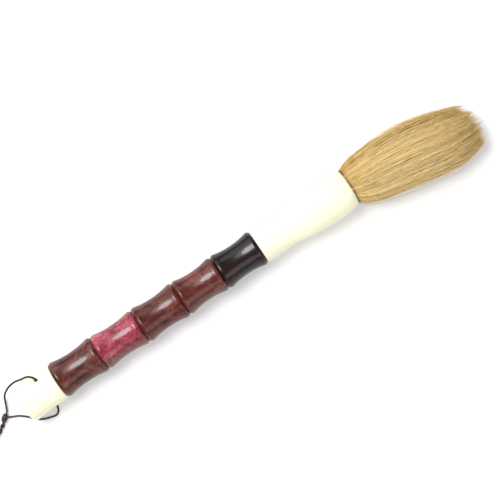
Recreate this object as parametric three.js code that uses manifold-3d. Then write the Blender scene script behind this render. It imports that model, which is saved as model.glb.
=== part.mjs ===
// A large calligraphy brush lying on a table, in millimetres.
//
// A turned bone cap, five turned stone beads and a bone ferrule are threaded on a wooden rod. The tuft
// is a bundle of hair, tied at its root and set in resin inside the ferrule. A thin waxed cord runs
// through a hole across the tail cap and is knotted into a hanging loop behind it.
//
// The handle is built on its own axis, +X from the tail end, then tipped until it rests on the table.
// The tuft bends sideways about the middle of a ball-shaped seat just behind the ferrule's mouth, and
// the hanging cord swings about the axis of the cross hole.

import * as THREE from 'three';
import { mergeVertices } from 'three/addons/utils/BufferGeometryUtils.js';
import Module from 'manifold-3d';

const wasm = await Module();
wasm.setup();

// ---------------------------------------------------------------- driving dimensions

const GAP = 0.3; // between pieces that touch
const TURNED_SIDES = 36;

const ROD_RADIUS = 4;
const ROD_BORE = ROD_RADIUS + GAP;

const CAP = { length: 22, rodBoreDepth: 5.7, holeStation: 13.6, holeRadius: 1, holeLean: 29 };
// The cap's outline as [radius, station]: a flat end, a rounded corner, then a slight taper.
const CAP_OUTLINE = [[9.7, 0], [10.7, 0.5], [11.2, 1.5], [11.3, 3.5], [10.9, 9], [10.5, 15], [10.4, 20.4]];
const CAP_REST_STATION = 3.5;
const CAP_REST_RADIUS = 11.3;

const BEADS = [
  { length: 26.5, lip: 10.45, waist: 9.2, color: 0x5a2c28 },
  { length: 26.0, lip: 10.2, waist: 9.05, color: 0xb5626a },
  { length: 25.9, lip: 10.4, waist: 9.1, color: 0x7a3b33 },
  { length: 24.9, lip: 10.2, waist: 8.9, color: 0x83453f },
  { length: 25.0, lip: 10.25, waist: 8.95, color: 0x2a1618 },
];
const LIP_CREST = 2.1; // from a bead's face to the highest point of its lip
const LIP_DROP = 1.2; // how far the lip rounds down to the face
const WAIST_CURVE = 2.2; // exponent of the fall from lip to waist

const FERRULE = { length: 57.9, rodBoreDepth: 14, hairBore: 9.4, hairBoreDepth: 30 };
// The ferrule's outline as [radius, station from its tail-side face].
const FERRULE_OUTLINE = [
  [10, 1.6], [9.8, 9], [9.65, 17], [10.5, 24], [11.45, 31], [12.05, 38], [12.25, 44],
  [12.05, 50], [11.5, 54.4], [10.7, 56.9],
];
const FERRULE_REST_STATION = 44;
const FERRULE_REST_RADIUS = 12.25;

// The ball-shaped seat that the loose part of the tuft bends on.
const SEAT = { depth: 8, radius: 13.1 };
const RESIN_DEPTH = 4;
const ROOT = { radius: 9.1, tiedRadius: 7.1, tiedLength: 9 };
const BINDING = { width: 6, turns: 5, inner: 7.4, outer: 8.9 };

// Cross-sections of the tuft: distance from the ferrule's mouth, sideways place of the middle,
// half width, height of the middle above the handle's axis, half height.
const TUFT_SECTIONS = [
  { s: -3, y: 0, halfWidth: 10, z: 0, halfHeight: 10 },
  { s: 0, y: 0, halfWidth: 10.2, z: 0, halfHeight: 10.2 },
  { s: 5, y: -0.1, halfWidth: 12.2, z: 0, halfHeight: 11.3 },
  { s: 10, y: -0.5, halfWidth: 13.9, z: 0, halfHeight: 12 },
  { s: 17, y: -1.3, halfWidth: 15, z: -0.1, halfHeight: 12.4 },
  { s: 26, y: -2.5, halfWidth: 15.9, z: -0.3, halfHeight: 12.5 },
  { s: 37, y: -4.1, halfWidth: 16.6, z: -0.7, halfHeight: 12.2 },
  { s: 46, y: -5.2, halfWidth: 16.8, z: -1.2, halfHeight: 11.6 },
  { s: 55, y: -6.9, halfWidth: 16.3, z: -1.9, halfHeight: 10.6 },
  { s: 64, y: -8.3, halfWidth: 15.2, z: -2.8, halfHeight: 9.3 },
  { s: 70, y: -9.2, halfWidth: 13.3, z: -3.4, halfHeight: 8.2 },
];
const TUFT_SIDES = 28;
const TUFT_TIP = 73.5; // where the mantle ends
const CORE_SHARE = 0.5; // the core's width as a share of the tuft's
const CORE_TIP = 75.5; // the core's hairs stand a little past the mantle

const CORD_RADIUS = 0.6;
const TWISTED_RADIUS = 1.2;
const CORD_SIDES = 8;
// Routes of the cord: x from the tail end, y sideways, z above the table.
const UPPER_STRAND = [
  [13.5, 5.8, 21.5], [12.7, 7.2, 22.3], [10.6, 8.8, 22.1], [7.4, 9.7, 20.9], [3.2, 10.9, 19.1],
  [-0.9, 11.3, 15.7], [-4, 11.6, 10.4], [-7, 11.2, 5.6], [-8.6, 9.9, 3], [-9.7, 7.9, 1.7],
  [-10.5, 6, 1.4], [-11.4, 3.9, 1.5],
];
const LOWER_STRAND = [
  [13.5, -6.2, 1.15], [13.3, -7.9, 0.75], [12.9, -9.6, 0.7], [12.1, -11.6, 0.7], [10.2, -12.8, 0.7],
  [6.9, -12.1, 0.7], [3, -10.7, 0.7], [-0.3, -8.5, 0.7], [-3.4, -5.1, 0.7], [-7.4, -1.8, 0.9],
  [-11, -0.1, 1.3],
];
const TWISTED_CORD = [
  [-16.8, -1.1, 1.4], [-18.6, -2.2, 1.3], [-20.4, -3.5, 1.3], [-23.8, -5.3, 1.3], [-27.4, -5.7, 1.3],
  [-30.4, -4, 1.3], [-31.7, -0.8, 1.3], [-30.8, 2.6, 1.3], [-28.9, 5.9, 1.3], [-26.8, 9.1, 1.3],
  [-25.4, 11.2, 1.3],
];
const END_LOOP = [
  [-23.7, 15.2, 0.8], [-24, 18.2, 0.7], [-23.3, 21.6, 0.7], [-20.9, 24.3, 0.7], [-17.8, 24.4, 0.7],
  [-15.9, 22.2, 0.7], [-16.2, 19.2, 0.7], [-18.3, 16.5, 0.7], [-21.5, 14.4, 0.8],
];
const LOOP_KNOT = { at: [-14.1, 1.4, 1.8], half: [2.5, 1.9, 1.65], turn: 35 };
const END_KNOT = { at: [-23.8, 13.4, 1.5], half: [1.75, 1.6, 1.4], turn: 56 };
const STRAND_IN_HOLE = [GAP, 6, 10.2]; // distances from the handle's axis along the cross hole

// ---------------------------------------------------------------- stations along the axis

const FACE = GAP / 2; // each joined face stands back by half the gap
const CAP_FACE = CAP.length;
const FERRULE_FACE = BEADS.reduce((station, bead) => station + bead.length, CAP_FACE);
const MOUTH = FERRULE_FACE + FERRULE.length;
const SEAT_STATION = MOUTH - SEAT.depth;
const HAIR_BORE_END = MOUTH - FERRULE.hairBoreDepth;

// Flat sides stand nearer to the axis than the corners between them.
const FLAT = Math.cos(Math.PI / TURNED_SIDES);
const FERRULE_REST = FERRULE_FACE + FERRULE_REST_STATION;
const REST_SLOPE = ((FERRULE_REST_RADIUS - CAP_REST_RADIUS) * FLAT) / (FERRULE_REST - CAP_REST_STATION);
const REST_TILT = Math.atan(REST_SLOPE);

/** Depth of the table below the handle's axis at a station. */
function tableDepth(station) {
  return CAP_REST_RADIUS * FLAT + REST_SLOPE * (station - CAP_REST_STATION);
}

// ---------------------------------------------------------------- shape helpers

/** A turned piece on the X axis, from [radius, station] pairs that close on the axis or themselves. */
function turned(outline, sides = TURNED_SIDES) {
  const points = outline.map(([radius, station]) => new THREE.Vector2(radius, station));
  const geometry = new THREE.LatheGeometry(points, sides, Math.PI / sides);
  return geometry.rotateZ(-Math.PI / 2);
}

/** A closed skin over a list of rings that hold the same number of points. */
function loft(rings) {
  const sides = rings[0].length;
  const vertices = rings.flat();
  const index = [];
  for (let ring = 0; ring + 1 < rings.length; ring += 1) {
    for (let side = 0; side < sides; side += 1) {
      const a = ring * sides + side;
      const b = ring * sides + ((side + 1) % sides);
      index.push(a, b, a + sides, b, b + sides, a + sides);
    }
  }
  const last = (rings.length - 1) * sides;
  for (let side = 1; side + 1 < sides; side += 1) {
    index.push(0, side + 1, side);
    index.push(last, last + side, last + side + 1);
  }
  const geometry = new THREE.BufferGeometry().setFromPoints(vertices);
  geometry.setIndex(index);
  return geometry;
}

/** A round cord along a smooth curve through the points of a route. */
function cordTube(route, radius, steps) {
  const curve = new THREE.CatmullRomCurve3(route.map((point) => new THREE.Vector3(...point)));
  const section = new THREE.Shape();
  for (let side = 0; side < CORD_SIDES; side += 1) {
    const angle = (2 * Math.PI * side) / CORD_SIDES;
    const [x, y] = [radius * Math.cos(angle), radius * Math.sin(angle)];
    if (side === 0) section.moveTo(x, y);
    else section.lineTo(x, y);
  }
  section.closePath();
  return new THREE.ExtrudeGeometry(section, { steps, bevelEnabled: false, extrudePath: curve });
}

/** A closed geometry as a solid that can be cut. */
function toSolid(source) {
  const geometry = source.clone();
  geometry.deleteAttribute('normal');
  geometry.deleteAttribute('uv');
  const merged = mergeVertices(geometry, 1e-4);
  return new wasm.Manifold(new wasm.Mesh({
    numProp: 3,
    vertProperties: new Float32Array(merged.attributes.position.array),
    triVerts: new Uint32Array(merged.index.array),
  }));
}

/** A cut solid as a geometry. */
function toGeometry(solid) {
  const mesh = solid.getMesh();
  const geometry = new THREE.BufferGeometry();
  geometry.setAttribute('position', new THREE.BufferAttribute(mesh.vertProperties, 3));
  geometry.setIndex(new THREE.BufferAttribute(mesh.triVerts, 1));
  return geometry;
}

/** A named piece with its own material. */
function piece(name, geometry, color, roughness = 0.5) {
  geometry.computeVertexNormals();
  const mesh = new THREE.Mesh(geometry, new THREE.MeshStandardMaterial({ color, roughness }));
  mesh.name = name;
  return mesh;
}

// ---------------------------------------------------------------- handle

/** The bone cap, bored for the rod at its front and drilled right across for the cord. */
function tailCap() {
  const boreEnd = CAP_FACE - CAP.rodBoreDepth;
  const body = toSolid(turned([
    [0, 0], ...CAP_OUTLINE, [9.8, CAP_FACE - FACE], [ROD_BORE, CAP_FACE - FACE], [ROD_BORE, boreEnd],
    [0, boreEnd],
  ]));
  const drill = new THREE.CylinderGeometry(CAP.holeRadius, CAP.holeRadius, 30, 16);
  drill.rotateX(Math.PI / 2 - THREE.MathUtils.degToRad(CAP.holeLean));
  drill.translate(CAP.holeStation, 0, 0);
  return piece('tail_cap', toGeometry(body.subtract(toSolid(drill))), 0xf6f1e2, 0.45);
}

/** Half of a bead's outline, from its face to the middle of its waist. */
function halfBead({ length, lip, waist }) {
  const points = [];
  for (const angle of [0, Math.PI / 5, Math.PI / 2]) {
    points.push([lip - LIP_DROP * (1 - Math.sin(angle)), FACE + LIP_CREST * (1 - Math.cos(angle))]);
  }
  const crest = FACE + LIP_CREST;
  for (const share of [0.2, 0.45, 0.7, 1]) {
    const radius = waist + (lip - waist) * (1 - share) ** WAIST_CURVE;
    points.push([radius, crest + share * (length / 2 - crest)]);
  }
  return points;
}

/** One stone bead: two rounded lips with a hollow waist between them, bored for the rod. */
function bead(spec, station, name) {
  const half = halfBead(spec);
  const mirrored = half.slice(0, -1).reverse().map(([radius, along]) => [radius, spec.length - along]);
  const outline = [
    [ROD_BORE, FACE], ...half, ...mirrored, [ROD_BORE, spec.length - FACE], [ROD_BORE, FACE],
  ];
  const geometry = turned(outline);
  geometry.translate(station, 0, 0);
  return piece(name, geometry, spec.color, 0.2);
}

/** The vase-shaped bone ferrule, bored for the rod behind and for the hair in front. */
function ferrule() {
  const outline = [
    [0, FERRULE.rodBoreDepth], [ROD_BORE, FERRULE.rodBoreDepth], [ROD_BORE, FACE], [9.2, FACE],
    ...FERRULE_OUTLINE, [10, FERRULE.length], [FERRULE.hairBore, FERRULE.length],
    [FERRULE.hairBore, FERRULE.length - FERRULE.hairBoreDepth],
    [0, FERRULE.length - FERRULE.hairBoreDepth],
  ];
  const geometry = turned(outline);
  geometry.translate(FERRULE_FACE, 0, 0);
  return piece('ferrule', geometry, 0xfaf5e8, 0.4);
}

/** The wooden rod that carries the cap, the beads and the ferrule. */
function centreRod() {
  const start = CAP_FACE - CAP.rodBoreDepth + GAP;
  const end = FERRULE_FACE + FERRULE.rodBoreDepth - GAP;
  const outline = [[0, start], [ROD_RADIUS, start], [ROD_RADIUS, end], [0, end]];
  return piece('centre_rod', turned(outline), 0xb08a5a, 0.7);
}

// ---------------------------------------------------------------- root of the tuft

/** The resin that the root of the bundle stands in, at the bottom of the ferrule's bore. */
function rootResin() {
  const [start, end] = [HAIR_BORE_END + GAP, HAIR_BORE_END + RESIN_DEPTH - GAP];
  const outline = [[0, start], [ROOT.radius, start], [ROOT.radius, end], [0, end]];
  return piece('root_resin', turned(outline), 0x8a5a20, 0.35);
}

/** The set part of the hair bundle, tied at its base and domed where it leaves the ferrule. */
function hairRoot() {
  const start = HAIR_BORE_END + RESIN_DEPTH;
  const outline = [
    [0, start], [ROOT.tiedRadius, start], [ROOT.tiedRadius, start + ROOT.tiedLength],
    [ROOT.radius, start + ROOT.tiedLength + 2],
  ];
  const edge = Math.asin(ROOT.radius / SEAT.radius);
  for (const share of [1, 0.75, 0.5, 0.25, 0]) {
    const angle = edge * share;
    outline.push([SEAT.radius * Math.sin(angle), SEAT_STATION + SEAT.radius * Math.cos(angle)]);
  }
  return piece('hair_root', turned(outline), 0xb98f52, 0.8);
}

/** The thread wound round the base of the bundle, as one ring with a ridge for each turn. */
function rootBinding() {
  const start = HAIR_BORE_END + RESIN_DEPTH + 1.5;
  const pitch = BINDING.width / BINDING.turns;
  const outline = [[BINDING.inner, start]];
  for (let turn = 0; turn < BINDING.turns; turn += 1) {
    outline.push([BINDING.outer - 0.4, start + turn * pitch]);
    outline.push([BINDING.outer, start + (turn + 0.5) * pitch]);
  }
  outline.push([BINDING.outer - 0.4, start + BINDING.width]);
  outline.push([BINDING.inner, start + BINDING.width], [BINDING.inner, start]);
  return piece('root_binding', turned(outline), 0xd8cdb2, 0.8);
}

// ---------------------------------------------------------------- loose part of the tuft

/** The tuft's cross-section at a distance from the mouth, between the listed ones or past the last. */
function tuftSection(distance) {
  const after = TUFT_SECTIONS.findIndex(({ s }) => s >= distance);
  if (after === -1) return TUFT_SECTIONS.at(-1);
  if (after === 0) return TUFT_SECTIONS[0];
  const [low, high] = [TUFT_SECTIONS[after - 1], TUFT_SECTIONS[after]];
  const share = (distance - low.s) / (high.s - low.s);
  const mix = (key) => THREE.MathUtils.lerp(low[key], high[key], share);
  return { y: mix('y'), z: mix('z'), halfWidth: mix('halfWidth'), halfHeight: mix('halfHeight') };
}

/** A ring of points round the tuft, at a share of its full size plus a margin, never below the table. */
function tuftRing(distance, share, margin) {
  const station = MOUTH + distance;
  const { y, z, halfWidth, halfHeight } = tuftSection(distance);
  const ring = [];
  for (let side = 0; side < TUFT_SIDES; side += 1) {
    const angle = (2 * Math.PI * (side + 0.5)) / TUFT_SIDES;
    const height = z + (halfHeight * share + margin) * Math.sin(angle);
    ring.push(new THREE.Vector3(
      station,
      y + (halfWidth * share + margin) * Math.cos(angle),
      Math.max(height, -tableDepth(station)),
    ));
  }
  return ring;
}

/** A solid of hair from behind the seat to a tip that narrows by the last two rings. */
function hairSolid(share, margin, tip) {
  const distances = TUFT_SECTIONS.map(({ s }) => s);
  const rings = distances.map((distance) => tuftRing(distance, share, margin));
  rings.push(tuftRing(tip, share * 0.82, margin));
  return toSolid(loft(rings));
}

/** The ball that the loose hair is cut away from, so that it can bend on the set root. */
function seatBall() {
  const ball = new THREE.SphereGeometry(SEAT.radius + GAP, 40, 24);
  ball.translate(SEAT_STATION, 0, 0);
  return toSolid(ball);
}

/** The stiff inner hairs. */
function hairCore() {
  const core = hairSolid(CORE_SHARE, 0, CORE_TIP).subtract(seatBall());
  return piece('hair_core', toGeometry(core), 0xb48a4a, 0.8);
}

/** The soft outer hairs, a sleeve round the core. */
function hairMantle() {
  const room = hairSolid(CORE_SHARE, GAP, CORE_TIP + 1);
  const mantle = hairSolid(1, 0, TUFT_TIP).subtract(room).subtract(seatBall());
  return piece('hair_mantle', toGeometry(mantle), 0xd6b87f, 0.8);
}

// ---------------------------------------------------------------- hanging cord

/** A knot as a plain rounded lump, turned into the line of its cord. */
function knot(name, { at, half, turn }) {
  const geometry = new THREE.SphereGeometry(1, 16, 10);
  geometry.scale(...half);
  geometry.rotateZ(THREE.MathUtils.degToRad(turn));
  geometry.translate(...at);
  return piece(name, geometry, 0x2a1c18, 0.6);
}

/** A stretch of cord. */
function cord(name, route, radius, steps) {
  return piece(name, cordTube(route, radius, steps), 0x2a1c18, 0.6);
}

/** A strand's route from the middle of the cross hole, straight out of it, and then on its way. */
function outOfHole(direction, route) {
  const lean = THREE.MathUtils.degToRad(CAP.holeLean);
  const inside = STRAND_IN_HOLE.map((reach) => [
    CAP.holeStation,
    direction * reach * Math.sin(lean),
    tableDepth(CAP.holeStation) + direction * reach * Math.cos(lean),
  ]);
  return [...inside, ...route];
}

// ---------------------------------------------------------------- assembly

const handle = new THREE.Group();
handle.add(tailCap(), centreRod(), ferrule(), hairRoot(), rootBinding(), rootResin());
handle.add(hairCore(), hairMantle());
let station = CAP_FACE;
BEADS.forEach((spec, index) => {
  handle.add(bead(spec, station, `handle_bead_${index + 1}`));
  station += spec.length;
});
handle.rotation.y = -REST_TILT;
handle.updateMatrixWorld(true);
handle.position.z = -new THREE.Box3().setFromObject(handle, true).min.z;

const hangingCord = new THREE.Group();
hangingCord.add(
  cord('cord_upper_strand', outOfHole(1, UPPER_STRAND), CORD_RADIUS, 18),
  cord('cord_lower_strand', outOfHole(-1, LOWER_STRAND), CORD_RADIUS, 18),
  knot('loop_knot', LOOP_KNOT),
  cord('twisted_cord', TWISTED_CORD, TWISTED_RADIUS, 14),
  knot('end_knot', END_KNOT),
  cord('end_loop', END_LOOP, CORD_RADIUS, 14),
);

// The origin is on the table, below the middle of the brush itself.
handle.updateMatrixWorld(true);
const brushBox = new THREE.Box3().setFromObject(handle, true);
const middle = brushBox.getCenter(new THREE.Vector3());

const brush = new THREE.Group();
brush.add(handle, hangingCord);
brush.position.set(-middle.x, -middle.y, 0);

export default brush;
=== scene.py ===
"""A large calligraphy brush lying on a pale table.

A turned bone cap, five polished stone beads and a bone ferrule stand on one straight line. A full tuft of
goat hair spreads from the ferrule, and a thin waxed cord hangs from a hole across the tail cap.

Shapes are worked out in millimetres on the handle's own line, +X from the tail end, and then laid where the
handle lies. Everything in the scene is in metres.
"""

import logging
import math
from collections.abc import Sequence
from dataclasses import dataclass
from enum import Enum

import bpy
from mathutils import Matrix, Vector

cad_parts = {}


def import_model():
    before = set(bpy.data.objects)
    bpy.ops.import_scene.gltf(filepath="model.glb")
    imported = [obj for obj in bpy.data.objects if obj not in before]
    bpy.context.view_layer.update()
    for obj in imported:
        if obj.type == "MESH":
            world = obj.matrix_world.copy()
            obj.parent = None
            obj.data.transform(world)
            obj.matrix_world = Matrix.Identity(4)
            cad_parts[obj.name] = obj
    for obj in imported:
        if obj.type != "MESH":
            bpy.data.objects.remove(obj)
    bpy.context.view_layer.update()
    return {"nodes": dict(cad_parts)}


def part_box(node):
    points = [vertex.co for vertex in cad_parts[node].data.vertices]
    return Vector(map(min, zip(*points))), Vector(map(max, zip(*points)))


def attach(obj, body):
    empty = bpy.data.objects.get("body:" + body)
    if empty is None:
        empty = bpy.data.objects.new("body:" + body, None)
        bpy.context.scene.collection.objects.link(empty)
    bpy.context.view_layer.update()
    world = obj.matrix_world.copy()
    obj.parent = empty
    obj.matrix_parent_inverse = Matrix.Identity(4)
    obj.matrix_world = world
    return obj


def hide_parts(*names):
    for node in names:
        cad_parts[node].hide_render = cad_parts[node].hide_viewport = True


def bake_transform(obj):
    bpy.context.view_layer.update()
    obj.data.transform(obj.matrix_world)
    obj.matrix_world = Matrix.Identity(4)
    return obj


LOG = logging.getLogger("brush")
MM = 0.001
TURN = 2 * math.pi
SIDE = Vector((0, 1, 0))

Colour = tuple[float, float, float]


class Body(Enum):
    """The bodies that pieces ride on."""

    HANDLE = "handle"
    TUFT = "tuft"
    CORD = "hanging_cord"


class Slot(Enum):
    """The material slots of the pieces that are made here."""

    BONE = "bone"
    RED_BROWN = "stone_red_brown"
    PINK = "stone_pink"
    RUSSET = "stone_russet"
    ROSE_BROWN = "stone_rose_brown"
    BLACK = "stone_black"
    HAIR = "hair"
    THREAD = "thread"
    CORD = "cord"


# ------------------------------------------------------------------------------------------ small helpers


def from_srgb(red: int, green: int, blue: int) -> Colour:
    """Turns a colour given in steps of 255 into the linear colour that shaders use.

    Args:
        red: Red, 0 to 255.
        green: Green, 0 to 255.
        blue: Blue, 0 to 255.

    Returns:
        The linear colour.
    """

    def linear(step: int) -> float:
        """Undoes the display curve for one channel."""
        value = step / 255
        return value / 12.92 if value <= 0.04045 else ((value + 0.055) / 1.055) ** 2.4

    return linear(red), linear(green), linear(blue)


def shades(*colours: tuple[int, int, int]) -> list[Colour]:
    """Turns several such colours."""
    return [from_srgb(*colour) for colour in colours]


def smooth_through(points: Sequence[Vector], steps: int) -> list[Vector]:
    """Draws a smooth line through points, evenly tight at close and far ones.

    Args:
        points: The points, at least two.
        steps: How many short pieces stand between two neighbours.

    Returns:
        The points of the smooth line, the given ones among them.
    """
    padded = [2 * points[0] - points[1], *points, 2 * points[-1] - points[-2]]
    line = []
    for a, b, c, d in zip(padded, padded[1:], padded[2:], padded[3:]):
        ab, bc, cd = ((q - p).length ** 0.5 for p, q in ((a, b), (b, c), (c, d)))
        for step in range(steps):
            t = ab + bc * step / steps
            low = a.lerp(b, t / ab)
            middle = b.lerp(c, (t - ab) / bc)
            high = c.lerp(d, (t - ab - bc) / cd)
            left = low.lerp(middle, t / (ab + bc))
            right = middle.lerp(high, (t - ab) / (bc + cd))
            line.append(left.lerp(right, (t - ab) / bc))
    return [*line, points[-1].copy()]


def new_object(name: str, data: bpy.types.ID) -> bpy.types.Object:
    """Puts a mesh, a light or a camera into the scene as an object at the origin."""
    made = bpy.data.objects.new(name, data)
    bpy.context.scene.collection.objects.link(made)
    return made


def freeze(made: bpy.types.Object, sharp_above: float = math.radians(35)) -> bpy.types.Object:
    """Turns what an object's modifiers make into its own plain mesh, shaded smooth between sharp edges.

    Args:
        made: The object.
        sharp_above: The angle between faces above which their edge stays sharp, in radians.

    Returns:
        The same object, with no modifiers.
    """
    settled = made.evaluated_get(bpy.context.evaluated_depsgraph_get())
    mesh = bpy.data.meshes.new_from_object(settled)
    made.modifiers.clear()
    made.data = mesh
    mesh.name = made.name
    mesh.shade_smooth()
    mesh.set_sharp_from_angle(angle=sharp_above)
    return made


def lathe(name: str, outline: Sequence[tuple[float, float]], sides: int) -> bpy.types.Object:
    """Turns an outline about the X axis into a closed mesh.

    Args:
        name: The piece's name.
        outline: (station, radius) pairs in millimetres, out from the axis, forward along the outside and
            back to the axis.
        sides: How many flat sides the piece has.

    Returns:
        The new object, on the handle's own line.
    """
    corners: list[Vector] = []
    rings: list[list[int]] = []
    for station, radius in outline:
        around = sides if radius > 0 else 1
        rings.append([len(corners) + side % around for side in range(sides)])
        for side in range(around):
            angle = TURN * side / sides
            corners.append(Vector((station, radius * math.cos(angle), -radius * math.sin(angle))) * MM)
    faces = []
    for low, high in zip(rings, rings[1:]):
        for side in range(sides):
            after = (side + 1) % sides
            loop = [low[side], high[side], high[after], low[after]]
            faces.append(list(dict.fromkeys(loop)))
    mesh = bpy.data.meshes.new(name)
    mesh.from_pydata([tuple(corner) for corner in corners], [], faces)
    return new_object(name, mesh)


@dataclass(frozen=True)
class HandleLine:
    """The straight line that the handle is turned about.

    Attributes:
        tail: Where the line meets the flat end of the tail cap, in metres.
        along: The direction from the tail to the hair.
    """

    tail: Vector
    along: Vector

    @classmethod
    def from_frame(cls, first_bead_middle: float) -> "HandleLine":
        """Finds the line from the middles of the first and the last bead.

        Args:
            first_bead_middle: The station of the first bead's middle, in millimetres.

        Returns:
            The line.
        """
        first, last = (sum(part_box(f"handle_bead_{number}"), Vector()) / 2 for number in (1, 5))
        along = (last - first).normalized()
        return cls(first - along * first_bead_middle * MM, along)

    @property
    def up(self) -> Vector:
        """Gives the direction square to the line that points away from the table."""
        return self.along.cross(SIDE)

    def matrix(self, station: float = 0) -> Matrix:
        """Gives the place of the handle's own axes.

        Args:
            station: Where on the line the origin goes, in millimetres.

        Returns:
            The matrix from the handle's axes to the scene's.
        """
        turned = Matrix((self.along, SIDE, self.up)).transposed().to_4x4()
        return Matrix.Translation(self.at(station)) @ turned

    def at(self, station: float, sideways: float = 0, above: float = 0) -> Vector:
        """Gives a point in the scene from a station, a sideways place and a height, in millimetres."""
        return self.tail + (self.along * station + SIDE * sideways + self.up * above) * MM

    def on_table(self, point: Sequence[float]) -> Vector:
        """Gives a point in the scene from a place along, a place sideways and a height over the table."""
        return Vector((self.tail.x + point[0] * MM, self.tail.y + point[1] * MM, point[2] * MM))

    def place(self, made: bpy.types.Object, station: float = 0) -> bpy.types.Object:
        """Lays a mesh from the handle's axes into the scene, with its origin at a station."""
        made.data.transform(self.matrix(station))
        return made


# --------------------------------------------------------------------------------------------- node trees


class Field:
    """A value in a node tree, which sums and products can use."""

    def __init__(self, tree: "Tree", socket: bpy.types.NodeSocket) -> None:
        """Keeps the tree and the socket that the value comes from."""
        self.tree = tree
        self.socket = socket

    def __add__(self, other: "Value") -> "Field":
        """Adds."""
        return self.tree.math("ADD", self, other)

    def __sub__(self, other: "Value") -> "Field":
        """Subtracts."""
        return self.tree.math("SUBTRACT", self, other)

    def __rsub__(self, other: "Value") -> "Field":
        """Subtracts from a number."""
        return self.tree.math("SUBTRACT", other, self)

    def __mul__(self, other: "Value") -> "Field":
        """Multiplies."""
        return self.tree.math("MULTIPLY", self, other)

    def __truediv__(self, other: "Value") -> "Field":
        """Divides."""
        return self.tree.math("DIVIDE", self, other)

    def __rtruediv__(self, other: "Value") -> "Field":
        """Divides a number."""
        return self.tree.math("DIVIDE", other, self)

    def __pow__(self, other: "Value") -> "Field":
        """Raises to a power."""
        return self.tree.math("POWER", self, other)

    __radd__ = __add__
    __rmul__ = __mul__


Value = Field | float | int | str | bool | Sequence[float]


class Tree:
    """Writes the nodes of one tree."""

    def __init__(self, tree: bpy.types.NodeTree) -> None:
        """Keeps the tree that nodes are written into."""
        self.tree = tree

    def node(self, kind: str, inputs: dict[str, Value] | None = None, **settings: object) -> bpy.types.Node:
        """Adds a node.

        Args:
            kind: The node's type.
            inputs: What goes into its sockets, by their names or identifiers.
            **settings: The node's own settings.

        Returns:
            The node.
        """
        made = self.tree.nodes.new(kind)
        for key, setting in settings.items():
            setattr(made, key, setting)
        for key, value in (inputs or {}).items():
            fits = [s for s in made.inputs if s.identifier == key]
            fits = fits or [s for s in made.inputs if s.name == key and s.enabled]
            self.feed(fits[0], value)
        return made

    def feed(self, socket: bpy.types.NodeSocket, value: Value) -> None:
        """Links a field to a socket, or sets a plain value on it."""
        if isinstance(value, Field):
            self.tree.links.new(value.socket, socket)
        else:
            socket.default_value = value

    def get(
        self, kind: str, output: str, inputs: dict[str, Value] | None = None, **settings: object
    ) -> Field:
        """Adds a node and gives one of its outputs.

        Args:
            kind: The node's type.
            output: The name or identifier of the output.
            inputs: What goes into its sockets.
            **settings: The node's own settings.

        Returns:
            The output.
        """
        made = self.node(kind, inputs, **settings)
        fits = [s for s in made.outputs if s.identifier == output]
        fits = fits or [s for s in made.outputs if s.name == output and s.enabled]
        return Field(self, fits[0])

    def math(self, operation: str, *values: Value) -> Field:
        """Does a sum on one to three values."""
        made = self.tree.nodes.new("ShaderNodeMath")
        made.operation = operation
        for socket, value in zip(made.inputs, values):
            self.feed(socket, value)
        return Field(self, made.outputs[0])

    def mix(self, share: Value, low: Value, high: Value) -> Field:
        """Gives a number between two others."""
        return low + share * (high - low) if isinstance(low, Field) else share * (high - low) + low

    def ease(self, value: Field, low: float, high: float) -> Field:
        """Goes smoothly from 0 to 1 while a value goes from low to high."""
        inputs = {"Value": value, "From Min": low, "From Max": high}
        return self.get("ShaderNodeMapRange", "Result", inputs, interpolation_type="SMOOTHSTEP")

    def join(self, x: Value, y: Value, z: Value) -> Field:
        """Makes a vector of three numbers."""
        return self.get("ShaderNodeCombineXYZ", "Vector", {"X": x, "Y": y, "Z": z})

    def split(self, vector: Field) -> tuple[Field, Field, Field]:
        """Gives a vector's three numbers."""
        made = self.node("ShaderNodeSeparateXYZ", {"Vector": vector})
        return Field(self, made.outputs[0]), Field(self, made.outputs[1]), Field(self, made.outputs[2])

    def scaled(self, vector: Field, factor: Value) -> Field:
        """Makes a vector longer or shorter."""
        inputs = {"Vector": vector, "Scale": factor}
        return self.get("ShaderNodeVectorMath", "Vector", inputs, operation="SCALE")

    def vectors(self, operation: str, first: Value, second: Value) -> Field:
        """Does a sum on two vectors."""
        made = self.node("ShaderNodeVectorMath", operation=operation)
        self.feed(made.inputs[0], first)
        self.feed(made.inputs[1], second)
        return Field(self, made.outputs[0])

    def moved(self, vector: Field, offset: Value) -> Field:
        """Adds one vector to another."""
        return self.vectors("ADD", vector, offset)

    def turned(self, radius: Field, angle: Field) -> tuple[Field, Field]:
        """Gives the two coordinates of a point at a radius and an angle."""
        return radius * self.math("COSINE", angle), radius * self.math("SINE", angle)

    def by_rule(self, value: Field, rule: Sequence[tuple[float, float]]) -> Field:
        """Looks a value up on a smooth line through (0 to 1, 0 to 1) points."""
        made = self.node("ShaderNodeFloatCurve", {"Value": value})
        line = made.mapping.curves[0]
        while len(line.points) < len(rule):
            line.points.new(0.5, 0.5)
        for point, (x, y) in zip(line.points, rule):
            point.location = (x, y)
        made.mapping.update()
        return Field(self, made.outputs[0])


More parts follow.
